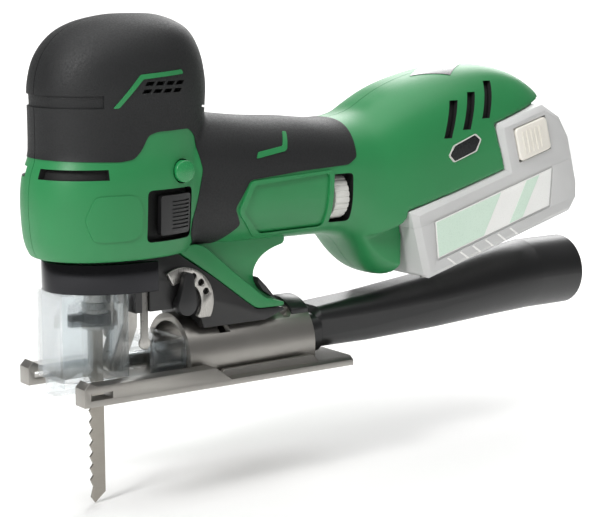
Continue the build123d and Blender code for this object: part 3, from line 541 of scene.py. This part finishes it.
def joined(name, pieces):
    bm = bmesh.new()
    for p in pieces:
        bm.from_mesh(p.data)
        dropObject(p)
    data = bpy.data.meshes.new(name)
    bm.to_mesh(data)
    bm.free()
    return link(bpy.data.objects.new(name, data))


def bothSides(outline, inner, outer=60, corner=0.0):
    shape = rounded(outline, corner) if corner else outline
    return [sidePrism("cutter", shape, inner, outer), sidePrism("cutter", shape, -outer, -inner)]


def skinDeep(cutter, depth):
    # keeps only the cutter's part within a depth of the outer form
    return combine(cutter, grown(bodySkin, "deflated", -depth * mm), "DIFFERENCE")


def shadowed(cutter):
    cutter.data.materials.clear()
    for name in ("greenNylon", "ventShadow"):
        cutter.data.materials.append(paint[name])
    for poly in cutter.data.polygons:
        poly.material_index = 1
    return cutter


def across(key):
    # the whole width of the tool within a side outline
    return sidePrism("across", rounded(outlines[key], cuts["corner"]), -80, 80)


def airSlotCutters():
    a = airSlots
    out = []
    for s in (-1, 1):
        plan = [(s * a["inner"], -a["outer"]), (s * a["outer"], -a["outer"]), (s * a["outer"], a["rear"]),
                (s * a["shoulder"], a["rear"]), (s * a["inner"], a["front"])]
        verts = [(x * mm, y * mm, z * mm) for z in (a["low"], a["high"]) for x, y in plan]
        n = len(plan)
        faces = [tuple(range(n)), tuple(reversed(range(n, 2 * n)))]
        faces += [(i, (i + 1) % n, (i + 1) % n + n, i + n) for i in range(n)]
        out.append(fixNormals(meshPiece("cutter", verts, faces)))
    return out


def carve():
    # cap, grip and green shell out of the one skin, with their vents, windows and grooves
    cap = combine(grown(bodySkin, "headCap", cuts["proud"] * mm), across("cap"), "INTERSECT")
    grip = combine(grown(bodySkin, "barrelGrip", cuts["proud"] * mm), across("grip"), "INTERSECT")
    shell = combine(copyOf(bodySkin, "greenShell"), across("darkArea"), "DIFFERENCE")
    print("green shell", len(shell.data.polygons))
    vents = []
    for outline in ventOutlines():
        vents += bothSides(outline, 10)
    vents += airSlotCutters()
    ventCutter = shadowed(skinDeep(joined("ventCutter", vents), cuts["ventDeep"]))
    window = sidePrism("cutter", rounded(outlines["dialWindow"], cuts["dialCorner"]), 10, 60)
    windowCutter = shadowed(skinDeep(joined("windowCutter", [window]), cuts["dialDeep"]))
    for ob in (cap, shell):
        ob.data.materials.append(paint["greenNylon"])
        ob.data.materials.append(paint["ventShadow"])
        for poly in ob.data.polygons:
            poly.material_index = 0
    combine(cap, ventCutter, "DIFFERENCE", keepOther=True)
    combine(shell, ventCutter, "DIFFERENCE")
    combine(shell, windowCutter, "DIFFERENCE")
    combine(shell, shadowed(buttonWell()), "DIFFERENCE")
    frames = joined("frames", bothSides(outlines["switchFrame"], 10, 60, cuts["switchCorner"]))
    combine(shell, shadowed(skinDeep(frames, cuts["switchDeep"])), "DIFFERENCE")
    combine(shell, lines(panelLines["shell"], cuts["shellGroove"]), "DIFFERENCE")
    combine(grip, lines(panelLines["grip"], cuts["gripGroove"]), "DIFFERENCE")
    ring = boxPiece("cutter", (-50, 50), (-50, capRing["rear"]), capRing["heights"])
    combine(cap, skinDeep(ring, capRing["deep"]), "DIFFERENCE")
    half = cuts["seamHalf"]
    for part in (cap, grip, shell):
        seam = boxPiece("cutter", (-half, half), (-60, 300), (30, 200))
        combine(part, skinDeep(seam, cuts["seamDeep"]), "DIFFERENCE")
    return cap, grip, shell


def boxPiece(name, xs, ys, zs):
    verts = [(x * mm, y * mm, z * mm) for z in zs for x, y in
             ((xs[0], ys[0]), (xs[1], ys[0]), (xs[1], ys[1]), (xs[0], ys[1]))]
    faces = [(3, 2, 1, 0), (4, 5, 6, 7), (0, 1, 5, 4), (1, 2, 6, 5), (2, 3, 7, 6), (3, 0, 4, 7)]
    return meshPiece(name, verts, faces)


def lines(polylines, width):
    # shallow grooves along (y, z) lines on both sides
    strips = []
    for points in polylines:
        for (ay, az), (by, bz) in zip(points, points[1:]):
            d = Vector((by - ay, bz - az)).normalized()
            n = Vector((-d.y, d.x)) * width / 2
            quad = [(ay - n.x, az - n.y), (by - n.x, bz - n.y), (by + n.x, bz + n.y), (ay + n.x, az + n.y)]
            strips += bothSides(quad, 8)
    return skinDeep(joined("lines", strips), cuts["grooveDeep"])


wellForm = {"radius": 6.1, "floor": 22.5, "points": 32}


def buttonWell():
    # the round room that the light button moves in
    low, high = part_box("light_button")
    y, z = (low.y + high.y) / 2 / mm, (low.z + high.z) / 2 / mm
    r, count = wellForm["radius"], wellForm["points"]
    turns = [i * math.pi / (count // 2) for i in range(count)]
    return sidePrism("cutter", [(y + r * math.cos(t), z + r * math.sin(t)) for t in turns],
                     wellForm["floor"], 60)


def frameRing(outline, width, corner):
    # a closed band of a given width just inside an outline
    shape = rounded(outline, corner)
    middle = sum((Vector(p) for p in shape), Vector((0, 0))) / len(shape)
    inner = []
    for p in shape:
        d = Vector(p) - middle
        inner.append(tuple(middle + d * (1 - width / d.length)))
    return shape, inner


inlay = {"inner": 8, "outer": 60, "root": 0.6}


def onSkin(name, region, height, root):
    # the layer of the outer form within a region, from a depth below it to a height above it
    patch = grown(bodySkin, name, height * mm)
    combine(patch, region, "INTERSECT")
    return combine(patch, grown(bodySkin, "core", -root * mm), "DIFFERENCE")


def raisedPatch(name, outline, height, material, corner=1.2, hole=None):
    # a flush or raised inlay that follows the outer form
    pieces = []
    for s in (-1, 1):
        x0, x1 = sorted((s * inlay["inner"], s * inlay["outer"]))
        prism = sidePrism("cutter", rounded(outline, corner) if corner else outline, x0, x1)
        if hole:
            combine(prism, sidePrism("cutter", hole, x0 - 1, x1 + 1), "DIFFERENCE")
        pieces.append(prism)
    return finishPiece(onSkin(name, joined("region", pieces), height, inlay["root"]), material, "housing")


headCap, barrelGrip, greenShell = carve()
print("shells cut")


def finishShell(ob, materials, body, *replaced):
    # keeps the dark faces that the cutters left in the vents
    while len(ob.data.materials) < len(materials):
        ob.data.materials.append(None)
    for slot, name in enumerate(materials):
        ob.data.materials[slot] = paint[name]
    for poly in ob.data.polygons:
        poly.use_smooth = True
    ob.data.set_sharp_from_angle(angle=math.radians(sharpAngle))
    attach(ob, body)
    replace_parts(ob, *replaced)
    return ob


finishShell(headCap, ("blackElastomer", "ventShadow"), "housing", "head_cap_left", "head_cap_right")
finishPiece(barrelGrip, "blackElastomer", "housing", "grip_left", "grip_right")
finishShell(greenShell, ("greenNylon", "ventShadow"), "housing", "housing_left", "housing_right")
accent = raisedPatch("headAccent", outlines["headAccent"], 0.75, "greenNylon", 0.8)
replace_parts(accent, "accent_strips")
raisedPatch("gripAccent", outlines["gripAccent"], 0.75, "greenNylon", 0.8)
panelOuter, panelInner = frameRing(outlines["brandPanel"], 3.0, 3)
raisedPatch("panelFrame", panelOuter, 1.3, "greenNylon", 0, panelInner)
badgeOuter, badgeInner = frameRing(outlines["badge"], 1.0, 0.9)
badge = raisedPatch("badgeFrame", badgeOuter, 0.45, "greyAbs", 0, badgeInner)
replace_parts(badge, "labels")
raisedPatch("badgeField", [tuple(p) for p in badgeInner], 0.3, "darkFilm", 0)
print("inlays done")


topMark = {"points": [(-7, 215), (6, 197), (19, 215), (6, 233)], "heights": (130, 170), "proud": 0.3}


def topLabel():
    # the dark diamond on top of the foot
    verts = [(x * mm, y * mm, z * mm) for z in topMark["heights"] for x, y in topMark["points"]]
    faces = [(0, 1, 2, 3), (7, 6, 5, 4), (0, 4, 5, 1), (1, 5, 6, 2), (2, 6, 7, 3), (3, 7, 4, 0)]
    region = fixNormals(meshPiece("region", verts, faces))
    finishPiece(onSkin("topLabel", region, topMark["proud"], inlay["root"]), "darkFilm", "housing")


padRibs = {"first": 82.6, "step": 1.9, "count": 8, "width": 0.8, "from": 25.5, "to": 36.8, "floor": 0.1}
padForm = {"proud": 0.9, "root": 2.5, "corner": 1.5}


def addPads():
    # sliding pads: a plain front strip, and fine ribs behind it
    region = joined("region", bothSides(outlines["pad"], 8, 60, padForm["corner"]))
    pads = onSkin("padLook", region, padForm["proud"], padForm["root"])
    grooves = []
    for i in range(padRibs["count"]):
        z = padRibs["first"] + i * padRibs["step"]
        grooves += bothSides([(padRibs["from"], z), (padRibs["to"], z), (padRibs["to"], z + padRibs["width"]),
                              (padRibs["from"], z + padRibs["width"])], 8)
    grooveCutter = joined("grooves", grooves)
    combine(grooveCutter, grown(bodySkin, "core", -padRibs["floor"] * mm), "DIFFERENCE")
    combine(pads, grooveCutter, "DIFFERENCE")
    finishPiece(pads, "blackNylon", "switch", "switch_pads")


topLabel()
addPads()
raisedPatch("cheekPanel", outlines["cheek"], 0.6, "greenNylon", 3)
dropObject(bodySkin)


def bevelled(ob, width, segments, angle):
    # rounds the edges that are sharper than an angle
    bevel = ob.modifiers.new("edge", "BEVEL")
    bevel.width = width * mm
    bevel.segments = segments
    bevel.limit_method = "ANGLE"
    bevel.angle_limit = math.radians(angle)
    return applyAll(ob)


# outline: half width, corner and edge radius, in mm
braceParts = {"brace": ("braceLook", 16, 4, 3.0), "braceBar": ("braceBar", 20.3, 3, 2.0)}
# room for the arch: its radius, its axis above the sole, and where it runs
saddle = {"radius": 22.3, "height": 12, "from": 20, "to": 130, "points": 64}


def addBrace():
    # the arm from the head down to the arch: a recessed web with a proud bar along its lower edge
    made = {}
    for key, (name, half, corner, edge) in braceParts.items():
        made[key] = sidePrism(name, rounded(outlines[key], corner, 5), -half, half)
    for key, ob in made.items():
        combine(ob, ringSaddle(), "DIFFERENCE")
        bevelled(ob, braceParts[key][3], 4, 50)
        finishPiece(ob, "greenNylon", "housing")
    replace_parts(made["brace"], "lever_guard")


def ringSaddle():
    r, h, count = saddle["radius"], saddle["height"], saddle["points"]
    turns = [i * math.pi / (count // 2) for i in range(count)]
    ring = [(r * math.cos(t) * mm, (h + r * math.sin(t)) * mm) for t in turns]
    verts = [(x, y * mm, z) for y in (saddle["from"], saddle["to"]) for x, z in ring]
    return fixNormals(meshPiece("cutter", verts, prismFaces(count)))


addBrace()


packDetails = {
    # outlines as (u, n) mm in the battery's tilted frame
    "field": [(10, 9.5), (95, 9.5), (102, 29.5), (13, 29.5)],
    "slant": [(10.6, 10), (44, 10), (62, 29), (13.6, 29)],
    "second": [(64, 10), (74, 10), (92, 29), (82, 29)],
    "slats": {"first": 20, "step": 9.5, "count": 6, "width": 1.3, "low": 2.0, "high": 7.2, "lean": 4.5},
    "grip": {"first": 84, "step": 3.2, "count": 5, "width": 1.1, "low": 44, "high": 57, "inner": 38.8,
             "outer": 39.7},
    # how far out each inlay starts, and how thick it is
    "fieldAt": (37.5, 0.55), "mintAt": (37.7, 0.5), "slatAt": (36.6, 1.6),
}


def packPrism(name, outline, x0, x1):
    return sidePrism(name, [packPoint(u, n) for u, n in outline], x0, x1)


def packPatch(name, outline, x, thick, material, body="battery"):
    # a thin inlay on both flanks of the battery
    pieces = [packPrism("patch", outline, x, x + thick), packPrism("patch", outline, -x - thick, -x)]
    return finishPiece(joined(name, pieces), material, body)


def dressPack():
    d = packDetails
    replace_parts(packPatch("packField", d["field"], *d["fieldAt"], "whiteFilm"), "battery_labels")
    packPatch("packSlant", d["slant"], *d["mintAt"], "mintFilm")
    packPatch("packSecond", d["second"], *d["mintAt"], "mintFilm")
    s = d["slats"]
    for i in range(s["count"]):
        u = s["first"] + i * s["step"]
        slat = [(u, s["low"]), (u + s["width"], s["low"]), (u + s["width"] - s["lean"], s["high"]),
                (u - s["lean"], s["high"])]
        packPatch("packSlat" + str(i), slat, *d["slatAt"], "whiteFilm")
    g = d["grip"]
    for side, body in ((1, "latch_left"), (-1, "latch_right")):
        x0, x1 = sorted((side * g["inner"], side * g["outer"]))
        ribs = []
        for i in range(g["count"]):
            u = g["first"] + i * g["step"]
            rib = [(u, g["low"]), (u + g["width"], g["low"]), (u + g["width"], g["high"]), (u, g["high"])]
            ribs.append(packPrism("rib", rib, x0, x1))
        finishPiece(joined(body + "Ribs", ribs), "offWhiteAcetal", body)


dressPack()


# points nearer than this are merged, in metres, and faces flatter than this are joined, in degrees
cadClean = {"merge": 0.00002, "flat": 1.5}


def dressed(node, material, body, edge):
    # the CAD shape with worked edges, shown in its place
    ob = copyOf(frame["nodes"][node], node + "Look")
    bm = bmesh.new()
    bm.from_mesh(ob.data)
    bmesh.ops.remove_doubles(bm, verts=bm.verts, dist=cadClean["merge"])
    bmesh.ops.dissolve_limit(bm, angle_limit=math.radians(cadClean["flat"]), verts=bm.verts, edges=bm.edges)
    bm.to_mesh(ob.data)
    bm.free()
    bevelled(ob, edge, 2, 38)
    return finishPiece(ob, material, body, node, smoothAngle=40)


edgeWork = {
    # node: (material, body, edge in mm)
    "base_plate": ("blastedAluminium", "base", 0.5), "base_arch": ("blastedAluminium", "base", 0.5),
    "arch_cap": ("blackNylon", "base", 0.5), "gear_housing": ("coatedMagnesium", "housing", 0.7),
    "front_band": ("blackChrome", "housing", 0.5),
    "orbital_lever": ("blackNylon", "orbit_lever", 0.7), "orbital_quadrant": ("groundSteel", "housing", 0.3),
    "guard_struts": ("groundSteel", "housing", 0.3), "chip_cover": ("clearPolycarbonate", "cover", 0.5),
    "dust_chute": ("clearPolycarbonate", "base", 0.4), "splinter_guard": ("clearPolycarbonate", "cover", 0.3),
    "light_button": ("greenAbs", "light_button", 0.6),
    "speed_dial": ("greyAbs", "dial", 0.3), "battery_case_lower": ("paleAbs", "battery", 1.2),
    "battery_case_upper": ("paleAbs", "battery", 1.2), "latch_left": ("offWhiteAcetal", "latch_left", 0.8),
    "latch_right": ("offWhiteAcetal", "latch_right", 0.8), "hex_key": ("groundSteel", "key", 0.2),
    "key_clips": ("blackNylon", "base", 0.3), "blade_clamp": ("groundSteel", "plunger", 0.3),
}
for node, (material, body, edge) in edgeWork.items():
    dressed(node, material, body, edge)
print("edges worked")


# the sweep runs level under the tool, then curves up well behind it
sweep = {"colour": "fafaf9", "rough": 0.85, "front": -6.0, "bend": 5.0, "radius": 2.5, "rise": 5.0,
         "halfWidth": 9.0, "under": 0.0005, "away": (-0.8105, 0.5858, 0), "aside": (0.5858, 0.8105, 0)}


def addFloor():
    z0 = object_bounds()[0][2] - sweep["under"]
    away, aside = Vector(sweep["away"]), Vector(sweep["aside"])
    profile = [(sweep["front"], 0.0)]
    for i in range(17):
        t = i / 16 * math.pi / 2
        profile.append((sweep["bend"] + sweep["radius"] * math.sin(t), sweep["radius"] * (1 - math.cos(t))))
    profile.append((sweep["bend"] + sweep["radius"], sweep["rise"]))
    verts = []
    for d, h in profile:
        for side in (-1, 1):
            p = away * d + aside * side * sweep["halfWidth"]
            verts.append((p.x, p.y, z0 + h))
    faces = [(2 * i, 2 * i + 1, 2 * i + 3, 2 * i + 2) for i in range(len(profile) - 1)]
    floor = meshPiece("floor", verts, faces)
    for poly in floor.data.polygons:
        poly.use_smooth = True
    mat, tree = newMaterial("paleFloor")
    shader = addNode(tree, "ShaderNodeBsdfPrincipled",
                     {"Base Color": asLinear(sweep["colour"]), "Roughness": sweep["rough"]})
    addNode(tree, "ShaderNodeOutputMaterial", None, {"Surface": shader.outputs["BSDF"]})
    floor.data.materials.append(mat)


def addLamp(name, place, target, size, power):
    lamp = bpy.data.lights.new(name, "AREA")
    lamp.shape = "RECTANGLE"
    lamp.size, lamp.size_y = size
    lamp.energy = power
    ob = link(bpy.data.objects.new(name, lamp))
    ob.location = place
    ob.rotation_euler = (Vector(target) - Vector(place)).to_track_quat("-Z", "Y").to_euler()


# name: (place, target, size, watts), metres
lamps = {
    "topBox": ((0.1, 0.1, 1.7), (0.0, 0.12, 0.0), (2.4, 2.4), 33),
    "keyLamp": ((0.45, -1.15, 0.95), (0.0, 0.05, 0.1), (0.35, 0.5), 13),
    "rimLamp": ((-0.8, 1.0, 0.8), (0.0, 0.12, 0.1), (0.7, 0.9), 9),
    "backLamp": ((-2.9, 2.1, 2.8), (-4.6, 3.4, 0.2), (4.0, 3.0), 190),
}
studio = {"surround": "ffffff", "strength": 0.22}


def addStudio():
    for name, (place, target, size, power) in lamps.items():
        addLamp(name, place, target, size, power)
    world = bpy.data.worlds.new("studio")
    bpy.context.scene.world = world
    world.use_nodes = True
    background = world.node_tree.nodes["Background"]
    background.inputs["Color"].default_value = asLinear(studio["surround"])
    background.inputs["Strength"].default_value = studio["strength"]


# metres, with the sensor and lens in mm
view = {"place": (0.7432, -0.4107, 0.2050), "towards": (-0.79968, 0.57801, -0.16257), "sensor": 36.0,
        "lens": 103.23, "far": 60}


def addCamera():
    camera = bpy.data.cameras.new("camera")
    camera.sensor_width = view["sensor"]
    camera.lens = view["lens"]
    camera.clip_end = view["far"]
    ob = link(bpy.data.objects.new("camera", camera))
    ob.location = view["place"]
    ob.rotation_euler = Vector(view["towards"]).to_track_quat("-Z", "Y").to_euler()
    bpy.context.scene.camera = ob


addFloor()
addStudio()
addCamera()
bpy.context.scene.view_settings.view_transform = "Standard"
print("stage done")
